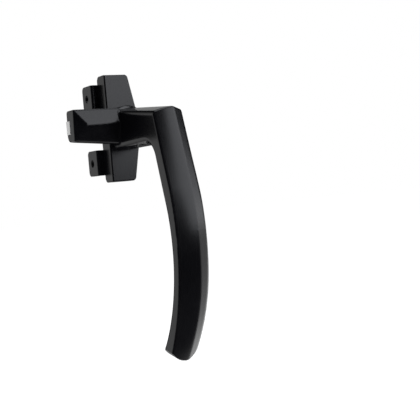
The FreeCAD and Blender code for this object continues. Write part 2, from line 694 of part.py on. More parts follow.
def make_neck_and_grip(body):
    """Cranked bar with a ridged front: its side outline, lofted over left, crown and right."""
    left = grip_section(body, "left_side", "-grip_half_width", "0", "0", "0")
    crown = grip_section(body, "crown_line", "crown_side",
                         "crown_rise", "crown_top_root", "crown_top_end")
    right = grip_section(body, "right_side", "grip_half_width", "0", "0", "0")
    loft = body.newObject("PartDesign::AdditiveLoft", "neck_and_grip")
    loft.Profile = left
    loft.Sections = [crown, right]
    loft.Ruled = True
    doc.recompute()

    end = draw_outline(new_sketch(body, "end_outline", "XZ"), [
        ("-grip_half_width - cut_over", "-(grip_drop - tip_left_rise)"),
        ("-tip_low_in_side", "-(grip_drop - tip_low_in_rise)"),
        ("tip_low_out_side", "-(grip_drop - tip_low_out_rise)"),
        ("tip_shoulder_side", "-(grip_drop - tip_shoulder_rise)"),
        ("grip_half_width", "-(grip_drop - tip_side_rise)"),
        ("grip_half_width + cut_beyond", "-(grip_drop - tip_side_rise)"),
        ("grip_half_width + cut_beyond", "-(grip_drop + cut_beyond)"),
        ("-grip_half_width - cut_over", "-(grip_drop + cut_beyond)"),
    ], {1: "-tip_low_bulge", 3: "-tip_shoulder_bulge"})
    pocket(body, end, "end_cut", along_normal=True)


def make_nose():
    """Flat-sided nose, tapered underneath, with a hipped front and rounded back edges."""
    body = new_body("nose_casting")
    root = "-(grip_half_width - nose_bury)"
    outline = draw_outline(new_sketch(body, "nose_outline", "XZ", "lever_back"), [
        ("-nose_reach", "nose_top"),
        ("-nose_reach", "-nose_bottom_tip"),
        (root, "-nose_bottom_root"),
        (root, "nose_top"),
    ])
    pad(body, outline, "nose_wall + nose_roof", "nose_block")
    wall = "-(lever_back + nose_wall)"
    ridge = "-(lever_back + nose_wall + nose_roof)"
    beyond = "-(lever_back + nose_wall + nose_roof + cut_over)"
    for name, side in (("upper", "nose_top"), ("lower", "-nose_bottom_root")):
        slope = draw_outline(new_sketch(body, name + "_slope_outline", "YZ", root), [
            (wall, side), (ridge, "nose_ridge_up"), (beyond, "nose_ridge_up"), (beyond, side)])
        pocket(body, slope, name + "_slope")
    hip = draw_outline(new_sketch(body, "hip_outline", "XY"), [
        ("-nose_reach", wall), ("-nose_reach + nose_hip_run", ridge), ("-nose_reach", ridge)])
    feature = body.newObject("PartDesign::Pocket", "hip")
    feature.Profile = hip
    feature.Type = "ThroughAll"
    feature.Midplane = True
    doc.recompute()
    nose_run = size("nose_reach - grip_half_width") / 2
    round_edges(body, "back_lower_edge", "nose_back_round", lambda edge: (
        near(edge.CenterOfMass.y, "-lever_back") and edge.CenterOfMass.z < 0
        and spans(edge, 0) > nose_run))
    round_edges(body, "back_upper_edge", "nose_top_round", lambda edge: (
        near(edge.CenterOfMass.y, "-lever_back") and near(edge.CenterOfMass.z, "nose_top")
        and spans(edge, 0) > nose_run))
    return body


def make_hub():
    """Round boss of the lever, turned about the pivot axis, with a rounded front edge."""
    body = new_body("hub_casting")
    front = "-(lever_back + hub_depth)"
    sketch = draw_outline(new_sketch(body, "hub_section", "XY"), [
        ("0", "-lever_back"),
        ("0", front),
        ("hub_radius - hub_round", front),
        ("hub_radius", front + " + hub_round"),
        ("hub_radius", "-lever_back"),
    ], {2: "-hub_round * quarter_sagitta"})
    feature = body.newObject("PartDesign::Revolution", "hub_turning")
    feature.Profile = sketch
    feature.ReferenceAxis = (sketch, ["V_Axis"])
    feature.Angle = 360.0
    doc.recompute()
    return body


def make_lever():
    """One aluminium casting: round hub, nose with a hipped front, neck and bowed grip."""
    body = new_body("lever")
    make_neck_and_grip(body)
    joined = body.newObject("PartDesign::Boolean", "hub_and_nose")
    joined.setObjects([make_hub(), make_nose()])
    joined.Type = "Fuse"
    doc.recompute()

    slot = draw_outline(new_sketch(body, "pad_slot_outline", "XZ", "lever_back"), [
        ("-nose_reach - cut_over", "pad_high"),
        ("-nose_reach - cut_over", "-pad_low"),
        ("-nose_reach + pad_length", "-pad_low"),
        ("-nose_reach + pad_length", "pad_high"),
    ])
    pocket(body, slot, "pad_slot", "pad_slot_depth", along_normal=True)
    middle = "(pad_high - pad_low) / 2"
    pin = draw_circles(new_sketch(body, "pad_pin_outline", "XZ", "lever_back"), [
        ("-nose_reach + pad_pin_from_end", middle, "pad_pin_radius")])
    pocket(body, pin, "pad_pin_hole", "pad_slot_depth + pad_pin_depth", along_normal=True)

    bore = draw_circles(new_sketch(body, "shaft_bore_outline", "XZ", "lever_back"),
                        [("0", "0", "shaft_radius")])
    pocket(body, bore, "shaft_bore", "shaft_in_lever", along_normal=True)
    grub = draw_circles(new_sketch(body, "grub_outline", "XY"),
                        [("0", "-(lever_back + grub_forward)", "grub_radius")])
    pocket(body, grub, "grub_hole")
    half = "(stop_pin_radius + stop_groove_gap)"
    outer, inner = f"(stop_pin_ring + {half})", f"(stop_pin_ring - {half})"
    groove = draw_outline(new_sketch(body, "stop_groove_outline", "XZ", "lever_back"), [
        (inner, f"-{half}"),
        (outer, f"-{half}"),
        (outer, "0"),
        ("0", outer),
        (f"-{half}", outer),
        (f"-{half}", inner),
        ("0", inner),
        (inner, "0"),
    ], {2: f"-{outer} * quarter_sagitta", 6: f"{inner} * quarter_sagitta"})
    pocket(body, groove, "stop_groove", "stop_groove_depth", along_normal=True)
    return body


def make_nose_pad():
    """Nylon wear pad in the back of the nose, held by a spring pin."""
    body = new_body("nose_pad")
    low, high = "-pad_low + pad_fit", "pad_high - pad_fit"
    far = "-nose_reach + pad_length - pad_fit"
    outline = draw_outline(new_sketch(body, "pad_outline", "XZ", "lever_back - pad_proud"), [
        ("-nose_reach", high), ("-nose_reach", low), (far, low), (far, high)])
    pad(body, outline, "pad_slot_depth + pad_proud - pad_fit", "pad_block")
    round_edges(body, "pad_end_edges", "pad_edge_round", lambda edge: (
        near(edge.CenterOfMass.y, "-(lever_back - pad_proud)")))
    pin = draw_circles(new_sketch(body, "pad_pin_outline", "XZ"), [
        ("-nose_reach + pad_pin_from_end", "(pad_high - pad_low) / 2", "pad_pin_radius")])
    pocket(body, pin, "pad_pin_hole", along_normal=True)
    return body


def make_pad_pin():
    """Spring pin that holds the nylon pad in the nose."""
    back = "-(lever_back + pad_pin_sunk)"
    front = "-(lever_back + pad_slot_depth + pad_pin_depth - pad_pin_end_gap)"
    return turned("nose_pad_pin", [
        ("pad_pin_bore", front),
        ("pad_pin_radius - pad_pin_taper", front),
        ("pad_pin_radius", front + " + pad_pin_lead"),
        ("pad_pin_radius", back + " - pad_pin_lead"),
        ("pad_pin_radius - pad_pin_taper", back),
        ("pad_pin_bore", back),
    ], x="-nose_reach + pad_pin_from_end", z="(pad_high - pad_low) / 2")


def make_grub_screw():
    """Locking screw that bears on the shaft's flat, driven in from under the hub."""
    body = new_body("lever_grub_screw")
    across = "(grub_socket_width / 2)"
    outline = draw_circles(new_sketch(body, "grub_outline", "XY", "-(shaft_radius - flat_depth)"),
                           [("0", "-(lever_back + grub_forward)", "grub_radius")])
    feature = pad(body, outline, "grub_length", "grub_body")
    feature.Reversed = True
    doc.recompute()
    base = "-(shaft_radius - flat_depth + grub_length)"
    socket = new_sketch(body, "socket_outline", "XY", base)
    long = f"({across} * 2 / sqrt(3))"
    forward = "-(lever_back + grub_forward)"
    draw_outline(socket, [
        (long, forward),
        (f"{long} / 2", f"{forward} + {across}"),
        (f"-{long} / 2", f"{forward} + {across}"),
        (f"-{long}", forward),
        (f"-{long} / 2", f"{forward} - {across}"),
        (f"{long} / 2", f"{forward} - {across}"),
    ])
    pocket(body, socket, "grub_socket", "grub_socket_depth", along_normal=True)
    return body


# ---------------------------------------------------------------- assembly and files

make_base()
make_bracket()
make_bracket_screw("bracket_screw_upper", "")
make_bracket_screw("bracket_screw_lower", "-")
make_bush()
make_ring("thrust_washer", "shaft_radius + running_gap", "thrust_washer_radius",
          "-lever_back + (lever_gap - thrust_washer_thick) / 2",
          "-base_front - (lever_gap - thrust_washer_thick) / 2")
make_shaft()
make_detent_plate()
make_disc_spring()
make_ring("flat_washer", "shaft_radius + washer_bore_gap", "flat_washer_radius",
          "-disc_back", "-washer_back")
make_clip()
make_detent("left", "-")
make_detent("right", "")
make_stop_pin()
make_lever()
make_nose_pad()
make_pad_pin()
make_grub_screw()

doc.recompute()
NODES = [
    "base_body", "mounting_bracket", "bracket_screw_upper", "bracket_screw_lower",
    "pivot_bush", "thrust_washer", "pivot_shaft", "detent_plate", "disc_spring",
    "flat_washer", "retaining_clip", "detent_ball_left", "detent_ball_right",
    "detent_spring_left", "detent_spring_right", "stop_pin", "lever",
    "nose_pad", "nose_pad_pin", "lever_grub_screw",
]
for item in doc.Objects:
    if "Invalid" in item.State or "Error" in item.State:
        raise RuntimeError(f"{item.Label} did not compute: {item.State}")
os.makedirs("parts", exist_ok=True)
for node in NODES:
    item = doc.getObjectsByLabel(node)[0]
    if item.Shape.isNull() or not item.Shape.isValid() or not item.Shape.Solids:
        raise RuntimeError(node + " has no valid solid")
    item.Shape.exportStep(f"parts/{node}.step")
    print(f"{node:24s} {item.Shape.Volume:10.2f} mm3")
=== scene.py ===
import math

import bmesh
import bpy
from mathutils import Matrix, Quaternion, Vector


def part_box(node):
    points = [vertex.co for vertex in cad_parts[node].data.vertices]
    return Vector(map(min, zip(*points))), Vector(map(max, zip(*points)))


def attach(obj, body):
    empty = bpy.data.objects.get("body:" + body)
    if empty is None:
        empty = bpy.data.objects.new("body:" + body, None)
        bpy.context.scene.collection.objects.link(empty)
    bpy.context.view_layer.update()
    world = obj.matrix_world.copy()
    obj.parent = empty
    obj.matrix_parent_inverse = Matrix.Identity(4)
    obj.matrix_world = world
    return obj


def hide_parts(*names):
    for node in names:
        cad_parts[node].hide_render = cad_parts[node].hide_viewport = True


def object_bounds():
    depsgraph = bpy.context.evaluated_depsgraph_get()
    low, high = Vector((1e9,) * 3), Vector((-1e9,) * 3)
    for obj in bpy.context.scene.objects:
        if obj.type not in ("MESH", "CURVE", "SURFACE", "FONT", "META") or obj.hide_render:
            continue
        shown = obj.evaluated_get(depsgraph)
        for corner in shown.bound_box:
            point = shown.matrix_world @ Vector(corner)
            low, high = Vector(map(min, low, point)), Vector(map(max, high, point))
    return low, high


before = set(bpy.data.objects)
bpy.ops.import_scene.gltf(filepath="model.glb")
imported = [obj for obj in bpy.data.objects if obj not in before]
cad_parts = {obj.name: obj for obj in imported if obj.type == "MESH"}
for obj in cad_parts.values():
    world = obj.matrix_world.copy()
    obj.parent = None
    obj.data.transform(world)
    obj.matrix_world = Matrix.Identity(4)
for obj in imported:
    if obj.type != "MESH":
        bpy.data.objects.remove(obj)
cad_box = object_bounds()

# ------------------------------------------------------------ base casting and bracket
# The base is a zinc die casting and the bracket behind it is pressed from 2 mm steel. Both are
# powder coated black and baked: a semi-gloss skin with faint orange peel over fine grain, a
# little burnished where hands and tools have touched the edges.

MM = 0.001


class Signal:
    """A socket in a node tree. Arithmetic on signals adds Math nodes."""

    def __init__(self, tree, socket):
        self.tree = tree
        self.socket = socket

    def math(self, operation, first, second):
        node = self.tree.nodes.new("ShaderNodeMath")
        node.operation = operation
        for slot, item in zip(node.inputs, (first, second)):
            if isinstance(item, Signal):
                self.tree.links.new(item.socket, slot)
            else:
                slot.default_value = item
        return Signal(self.tree, node.outputs[0])

    def __add__(self, other):
        return self.math("ADD", self, other)

    def __radd__(self, other):
        return self.math("ADD", other, self)

    def __sub__(self, other):
        return self.math("SUBTRACT", self, other)

    def __rsub__(self, other):
        return self.math("SUBTRACT", other, self)

    def __mul__(self, other):
        return self.math("MULTIPLY", self, other)

    def __rmul__(self, other):
        return self.math("MULTIPLY", other, self)


class Nodes:
    """A node tree that is filled one node at a time."""

    def __init__(self, tree):
        self.tree = tree

    def node(self, kind, settings=None, sockets=None, output=0):
        """Add a node: its settings first, then values or signals for its sockets."""
        node = self.tree.nodes.new(kind)
        for name, value in (settings or {}).items():
            setattr(node, name, value)
        self.feed(node, sockets or {})
        return Signal(self.tree, node.outputs[output])

    def feed(self, node, sockets):
        for name, value in sockets.items():
            if isinstance(value, Signal):
                self.tree.links.new(value.socket, node.inputs[name])
            else:
                node.inputs[name].default_value = value

    def noise(self, place, scale, detail=3.0, rough=0.5):
        """Even noise round 0.5, with scale in waves per metre."""
        return self.node("ShaderNodeTexNoise", {}, {
            "Vector": place, "Scale": scale, "Detail": detail, "Roughness": rough})

    def between(self, share, low, high):
        """Colour from low to high as share goes from 0 to 1."""
        return self.node("ShaderNodeMix", {"data_type": "RGBA"}, {
            0: share, 6: low, 7: high}, output=2)

    def ramp(self, value, low, high):
        """0 below low, 1 above high, and smooth in between."""
        return self.node("ShaderNodeMapRange", {"interpolation_type": "SMOOTHSTEP"}, {
            "Value": value, "From Min": low, "From Max": high})

    def edges(self, radius):
        """1 on the edges of the shape and 0 on its faces."""
        soft = self.node("ShaderNodeBevel", {"samples": 6}, {"Radius": radius})
        flat = self.node("ShaderNodeNewGeometry", output=1)
        alike = self.node("ShaderNodeVectorMath", {"operation": "DOT_PRODUCT"},
                          {0: soft, 1: flat}, output=1)
        return self.ramp(1 - alike, 0.02, 0.16)


def finish_of(name, **constants):
    """New material: its node tree, its shader and the object's own coordinates."""
    material = bpy.data.materials.new(name)
    material.use_nodes = True
    nodes = Nodes(material.node_tree)
    shader = next(n for n in material.node_tree.nodes if n.type == "BSDF_PRINCIPLED")
    for socket, value in constants.items():
        shader.inputs[socket.replace("_", " ")].default_value = value
    place = nodes.node("ShaderNodeTexCoord", output="Object")
    return material, nodes, shader, place


def make_powder_coat():
    material, nodes, shader, place = finish_of("black_powder_coat", IOR=1.5)
    grain = nodes.noise(place, 1500.0, detail=2.0)
    peel = nodes.noise(place, 430.0, detail=2.0)
    cloud = nodes.noise(place, 38.0, detail=4.0, rough=0.6)
    worn = nodes.edges(0.5 * MM) * nodes.ramp(nodes.noise(place, 260.0), 0.4, 0.7)
    black = (0.0022, 0.0022, 0.0030, 1)
    dusty = (0.0042, 0.0042, 0.0052, 1)
    burnished = (0.022, 0.021, 0.020, 1)
    coat = nodes.between(nodes.ramp(cloud, 0.35, 0.7), black, dusty)
    bump = nodes.node("ShaderNodeBump", {}, {
        "Strength": 0.25, "Distance": 0.02 * MM, "Height": peel * 0.7 + grain * 0.3})
    nodes.feed(shader, {
        "Base Color": nodes.between(worn * 0.6, coat, burnished),
        "Roughness": 0.17 + cloud * 0.08 + grain * 0.04 - worn * 0.04,
        "Normal": bump})
    return material


def finish_node(material, *names):
    """Give CAD nodes a finish in place of their plain one."""
    for name in names:
        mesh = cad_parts[name].data
        mesh.materials.clear()
        mesh.materials.append(material)


powder_coat = make_powder_coat()
finish_node(powder_coat, "base_body", "mounting_bracket")

# ------------------------------------------------------------ bracket screws, shaft, washers
# Turned and pressed steel, zinc plated and left bright: two countersunk screws, the turning
# shaft, the plain washer, the detent plate and the stop pin. The brushing of the blanks still
# shows through the plating.


def make_zinc_plate():
    material, nodes, shader, place = finish_of("zinc_plate")
    across = nodes.node("ShaderNodeMapping", {}, {
        "Vector": place, "Scale": (1.0, 0.06, 1.0)})
    brushing = nodes.noise(across, 5200.0, detail=3.0)
    stain = nodes.noise(place, 420.0, detail=4.0, rough=0.65)
    rubbed = nodes.edges(0.25 * MM)
    plate = nodes.between(nodes.ramp(stain, 0.35, 0.75),
                          (0.60, 0.61, 0.63, 1), (0.47, 0.47, 0.46, 1))
    bump = nodes.node("ShaderNodeBump", {}, {
        "Strength": 0.3, "Distance": 0.01 * MM, "Height": brushing})
    nodes.feed(shader, {
        "Base Color": nodes.between(rubbed * 0.5, plate, (0.74, 0.75, 0.77, 1)),
        "Metallic": 1.0 - stain * 0.15,
        "Roughness": 0.24 + stain * 0.16 + brushing * 0.08,
        "Normal": bump})
    return material


finish_node(make_zinc_plate(), "bracket_screw_upper", "bracket_screw_lower", "pivot_shaft",
            "flat_washer", "detent_plate", "stop_pin")

# ------------------------------------------------------------ springs, clip and spring pin
# Hardened spring steel with a thin grey phosphate skin: the two detent springs, the disc
# spring, the retaining clip and the rolled pin in the nose.


def make_spring_steel():
    material, nodes, shader, place = finish_of("phosphated_spring_steel")
    crystals = nodes.noise(place, 3800.0, detail=4.0, rough=0.7)
    oil = nodes.noise(place, 350.0, detail=3.0)
    rubbed = nodes.edges(0.15 * MM)
    skin = nodes.between(crystals, (0.10, 0.10, 0.10, 1), (0.20, 0.195, 0.19, 1))
    bump = nodes.node("ShaderNodeBump", {}, {
        "Strength": 0.4, "Distance": 0.01 * MM, "Height": crystals})
    nodes.feed(shader, {
        "Base Color": nodes.between(rubbed * 0.7, skin, (0.42, 0.41, 0.40, 1)),
        "Metallic": 0.9 - crystals * 0.2,
        "Roughness": 0.58 - oil * 0.25 + crystals * 0.08,
        "Normal": bump})
    return material


finish_node(make_spring_steel(), "detent_spring_left", "detent_spring_right", "disc_spring",
            "retaining_clip", "nose_pad_pin")

# ------------------------------------------------------------ detent balls
# Two bearing balls, ground and polished, with a film of grease.


def make_ball_steel():
    material, nodes, shader, place = finish_of("polished_ball_steel")
    grease = nodes.ramp(nodes.noise(place, 1200.0, detail=3.0), 0.45, 0.65)
    grinding = nodes.noise(place, 9000.0, detail=1.0)
    bump = nodes.node("ShaderNodeBump", {}, {
        "Strength": 0.1, "Distance": 0.004 * MM, "Height": grinding})
    nodes.feed(shader, {
        "Base Color": nodes.between(grease, (0.70, 0.70, 0.72, 1), (0.52, 0.48, 0.38, 1)),
        "Metallic": 1.0 - grease * 0.2,
        "Roughness": 0.07 + grease * 0.18 + grinding * 0.03,
        "Normal": bump})
    return material


finish_node(make_ball_steel(), "detent_ball_left", "detent_ball_right")

# ------------------------------------------------------------ bush and thrust washer
# Natural nylon, moulded: the flanged bush in the base and the washer that fills the gap
# between base and lever. It is off-white, waxy and a little marked where the lever turns on it.


def make_nylon(name, pale, shaded, rough):
    material, nodes, shader, place = finish_of(name, IOR=1.53)
    flow = nodes.noise(place, 160.0, detail=3.0)
    pores = nodes.noise(place, 2600.0, detail=2.0)
    rubbed = nodes.edges(0.3 * MM)
    bump = nodes.node("ShaderNodeBump", {}, {
        "Strength": 0.3, "Distance": 0.02 * MM, "Height": pores})
    body = nodes.between(nodes.ramp(flow, 0.3, 0.75), pale, shaded)
    nodes.feed(shader, {
        "Base Color": nodes.between(rubbed * 0.35, body, shaded),
        "Roughness": rough + pores * 0.12 - rubbed * 0.08,
        "Normal": bump})
    return material


finish_node(make_nylon("natural_nylon", (0.72, 0.69, 0.60, 1), (0.60, 0.57, 0.49, 1), 0.42),
            "pivot_bush", "thrust_washer")

# ------------------------------------------------------------ nose pad
# White nylon wear pad, moulded with a fine spark-eroded face, pinned into the back of the nose.

finish_node(make_nylon("white_nylon", (0.94, 0.94, 0.93, 1), (0.89, 0.89, 0.87, 1), 0.38),
            "nose_pad")

# ------------------------------------------------------------ locking screw
# Hexagon socket grub screw with a black oxide finish, oily and nearly dull.


def make_black_oxide():
    material, nodes, shader, place = finish_of("black_oxide")
    smear = nodes.noise(place, 700.0, detail=4.0, rough=0.6)
    rubbed = nodes.edges(0.2 * MM)
    bump = nodes.node("ShaderNodeBump", {}, {
        "Strength": 0.3, "Distance": 0.01 * MM, "Height": nodes.noise(place, 4000.0)})
    nodes.feed(shader, {
        "Base Color": nodes.between(rubbed, (0.03, 0.03, 0.033, 1), (0.2, 0.2, 0.2, 1)),
        "Metallic": 0.5 + rubbed * 0.5,
        "Roughness": 0.5 - smear * 0.2,
        "Normal": bump})
    return material


finish_node(make_black_oxide(), "lever_grub_screw")

# ------------------------------------------------------------ lever
# One aluminium pressure die casting: a round hub on the shaft, a flat-sided nose with a hipped
# front, and a cranked neck that runs into the bowed grip. Its edges are rounded by the die and
# by tumbling, the slot and the holes are machined after, and it is powder coated black.

hub_radius = 11.4 * MM
half_width = 8.0 * MM
touching = 0.01 * MM
base_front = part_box("base_body")[0].y
lever_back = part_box("lever")[1].y
nose_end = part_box("lever")[0].x


def deselect():
    bpy.ops.object.select_all(action="DESELECT")


def pick(kind, test):
    """In edit mode, select only the elements of that kind for which test is true."""
    bpy.ops.mesh.select_mode(type=kind)
    edited = bmesh.from_edit_mesh(bpy.context.object.data)
    for item in [*edited.verts, *edited.edges, *edited.faces]:
        item.select_set(False)
    for item in {"VERT": edited.verts, "EDGE": edited.edges, "FACE": edited.faces}[kind]:
        if test(item):
            item.select_set(True)
    edited.select_flush(True)
    bmesh.update_edit_mesh(bpy.context.object.data)


def arc(start, end, bulge, steps):
    """Points of an arc after start, up to and with end; it rises by bulge left of the chord."""
    chord = end - start
    left = Vector((-chord.y, chord.x)).normalized()
    radius = (chord.length_squared / 4 + bulge ** 2) / (2 * abs(bulge))
    side = math.copysign(1, bulge)
    centre = (start + end) / 2 + left * (bulge - side * radius)
    turn = -side * 2 * math.asin(chord.length / (2 * radius))
    spoke = start - centre
    return [centre + Matrix.Rotation(turn * n / steps, 2) @ spoke for n in range(1, steps + 1)]


def prism(name, outline, start, travel):
    """Closed prism: a disc whose rim is pulled to the outline, extruded along travel."""
    deselect()
    bpy.ops.mesh.primitive_circle_add(vertices=len(outline), fill_type="NGON")
    piece = bpy.context.object
    piece.name = name
    for vertex, point in zip(piece.data.vertices, outline):
        vertex.co = start + point
    bpy.ops.object.mode_set(mode="EDIT")
    bpy.ops.mesh.select_all(action="SELECT")
    for step in travel:
        bpy.ops.mesh.extrude_region_move(TRANSFORM_OT_translate={"value": step})
    bpy.ops.mesh.select_all(action="SELECT")
    bpy.ops.mesh.normals_make_consistent(inside=False)
    bpy.ops.object.mode_set(mode="OBJECT")
    return piece


def apply_modifier(piece, kind, **settings):
    deselect()
    piece.select_set(True)
    bpy.context.view_layer.objects.active = piece
    modifier = piece.modifiers.new(kind.lower(), kind)
    for name, value in settings.items():
        setattr(modifier, name, value)
    bpy.ops.object.modifier_apply(modifier=modifier.name)


def cut_away(piece, tool):
    """Machine the tool's shape out of the piece, and throw the tool away."""
    apply_modifier(piece, "BOOLEAN", operation="DIFFERENCE", solver="EXACT", object=tool)
    bpy.data.objects.remove(tool)


def side_point(reach, z):
    """Side view point, as a vector of (reach in front of the base, height)."""
    return Vector((reach * MM, z * MM))


def make_neck_and_grip():
    """Side outline extruded across the width; its front is drawn out into a crown on the way."""
    uncut_end, neck_bottom, neck_root = -121.9, -11.2, 1.0
    neck_top = [side_point(neck_root, 9.0), side_point(50.0, 3.6)]
    bow_start = side_point(60.7, -35.0)
    bow = arc(bow_start, side_point(43.5, uncut_end), 9.8 * MM, 36)
    inner_foot = side_point(30.1, uncut_end)
    inner_bow = arc(inner_foot, side_point(53.6, -43.6), -11.2 * MM, 36)
    arch_foot = side_point(47.0, -19.3)
    arch = arc(arch_foot, side_point(37.6, neck_bottom), -2.27 * MM, 12)
    outer = [*neck_top, bow_start, *bow]
    inner = [inner_foot, *inner_bow, arch_foot, *arch, side_point(neck_root, neck_bottom)]

    crown_side = 2.6 * MM
    crown = Vector((0, -1.8, 0))
    crown_of_neck = [Vector((0, 0, 1.3)), Vector((0, -1.8, 2.2))]
    steps_left, steps_right = 9, 5
    stations = [-half_width + (crown_side + half_width) * n / steps_left
                for n in range(steps_left + 1)]
    stations += [crown_side + (half_width - crown_side) * n / steps_right
                 for n in range(1, steps_right + 1)]
    outline = [Vector((0, base_front - p.x, p.y)) for p in outer + inner]
    travel = [(b - a, 0, 0) for a, b in zip(stations, stations[1:])]
    bar = prism("lever_casting", outline, Vector((-half_width, 0, 0)), travel)

    def rise(x):
        """Share of the crown at x: a soft curve up from the left, a flat facet to the right."""
        facet_fall = 0.85
        if x < crown_side:
            return 1 - ((crown_side - x) / (crown_side + half_width)) ** 1.5
        return 1 - facet_fall * (x - crown_side) / (half_width - crown_side)

    front = outline[:len(outer)]
    lifts = crown_of_neck + [crown] * (len(outer) - len(crown_of_neck))
    for vertex in bar.data.vertices:
        for point, lift in zip(front, lifts):
            if (vertex.co.yz - point.yz).length < touching:
                vertex.co += lift * MM * rise(vertex.co.x)
                break

    def chain(points, sides, reach):
        """Test for the edges that run along these outline points on the given sides."""
        def near(vertex):
            return (min(abs(vertex.co.x - side) for side in sides) < touching
                    and min((vertex.co.yz - p.yz).length for p in points) < reach)

        def test(edge):
            first, second = edge.verts
            return near(first) and near(second) and abs(first.co.x - second.co.x) < touching
        return test

    both_sides = (-half_width, half_width)
    loose = 0.4 * MM
    roundings = [
        (outline[len(outer):], both_sides, touching, 3.1 * MM, 7),
        (front[:2], both_sides, loose, 2.4 * MM, 6),
        (front[1:], (half_width,), loose, 0.9 * MM, 4),
    ]
    bpy.ops.object.mode_set(mode="EDIT")
    for points, sides, reach, radius, segments in roundings:
        pick("EDGE", chain(points, sides, reach))
        bpy.ops.mesh.bevel(offset=radius, segments=segments, affect="EDGES")
    bpy.ops.object.mode_set(mode="OBJECT")

    swell, swell_top, swell_run = 0.8 * MM, -10 * MM, 30 * MM
    taper_rate, taper_top = 1.55, -74 * MM
    for vertex in bar.data.vertices:
        wider = swell * min(1, max(0, (swell_top - vertex.co.z) / swell_run))
        narrower = taper_rate * max(0, taper_top - vertex.co.z) ** 2
        share = (vertex.co.x + half_width) / (2 * half_width)
        vertex.co.x += (wider - narrower) * share
    return bar


def make_end_cutter():
    """Everything below the rounded, lopsided end of the grip, which slopes up to the back."""
    left = Vector((-9.0, -114.4))
    low_in = Vector((-5.2, -118.1))
    low_out = Vector((2.0, -120.2))
    right = Vector((6.5, -113.2))
    clear_right, clear_bottom, clear_top = 20.0, -130.0, -104.0
    points = [left, low_in, *arc(low_in, low_out, -1.0, 12), *arc(low_out, right, -0.8, 8),
              Vector((8.4, clear_top)), Vector((clear_right, clear_top)),
              Vector((clear_right, clear_bottom)), Vector((left.x, clear_bottom))]
    outline = [Vector((p.x, 0, p.y)) * MM for p in points]
    end_middle = base_front - 50 * MM
    half_depth = 40 * MM
    slope = math.tan(math.radians(11))
    return prism("end_cutter", outline,
                 Vector((0, end_middle + half_depth, slope * half_depth)),
                 [(0, -2 * half_depth, -2 * slope * half_depth)])


def make_nose():
    """Tapered block whose front is drawn out and pinched to a hipped ridge."""
    root = -half_width + 1.0 * MM
    wall, roof = 9.4 * MM, 2.8 * MM
    ridge_z, hip_run = 1.6 * MM, 6.9 * MM
    top, lean = 9.8 * MM, 0.45 * MM
    corners = [(nose_end + lean, top), (nose_end, -6.5 * MM), (root, -8.9 * MM), (root, top)]
    outline = [Vector((x, 0, z)) for x, z in corners]
    nose = prism("nose", outline, Vector((0, lever_back, 0)), [(0, -wall, 0), (0, -roof, 0)])
    front = lever_back - wall
    ridge = front - roof
    for vertex in nose.data.vertices:
        if abs(vertex.co.y - ridge) < touching:
            vertex.co.z = ridge_z
            vertex.co.x = max(vertex.co.x, nose_end + hip_run)

    def runs(y, side):
        """Test for the long edges at y, above the axis for side 1 and below it for side -1."""
        def test(edge):
            a, b = (v.co for v in edge.verts)
            return (abs(a.y - y) < touching and abs(b.y - y) < touching
                    and abs(a.x - b.x) > 10 * MM and (a.z + b.z) * side > 0)
        return test

    bpy.ops.object.mode_set(mode="EDIT")
    bpy.ops.mesh.select_all(action="SELECT")
    bpy.ops.mesh.remove_doubles(threshold=touching)
    for y, side, radius in ((lever_back, -1, 3.3), (lever_back, 1, 1.4), (front, -1, 1.1),
                            (ridge, 1, 1.0)):
        pick("EDGE", runs(y, side))
        bpy.ops.mesh.bevel(offset=radius * MM, segments=6, affect="EDGES")
    bpy.ops.object.mode_set(mode="OBJECT")
    return nose


def make_hub():
    """Short round boss on the shaft, with a rounded front rim."""
    depth, rounding = 6.0 * MM, 2.0 * MM
    deselect()
    bpy.ops.mesh.primitive_cylinder_add(
        vertices=128, radius=hub_radius, depth=depth,
        location=(0, lever_back - depth / 2, 0), rotation=(math.radians(90), 0, 0))
    bpy.ops.object.transform_apply()
    hub = bpy.context.object
    bpy.ops.object.mode_set(mode="EDIT")
    pick("EDGE", lambda edge: all(v.co.y < lever_back - depth / 2 for v in edge.verts))
    bpy.ops.mesh.bevel(offset=rounding, segments=8, affect="EDGES")
    bpy.ops.object.mode_set(mode="OBJECT")
    return hub


def make_cylinder(name, centre, radius, low, high, axis):
    """Round tool along Y or Z, between two places on that axis."""
    middle = centre.copy()
    middle[axis] = (low + high) / 2
    turn = (math.radians(90), 0, 0) if axis == 1 else (0, 0, 0)
    deselect()
    bpy.ops.mesh.primitive_cylinder_add(
        vertices=64, radius=radius, depth=high - low, location=middle, rotation=turn)
    bpy.ops.object.transform_apply()
    bpy.context.object.name = name
    return bpy.context.object


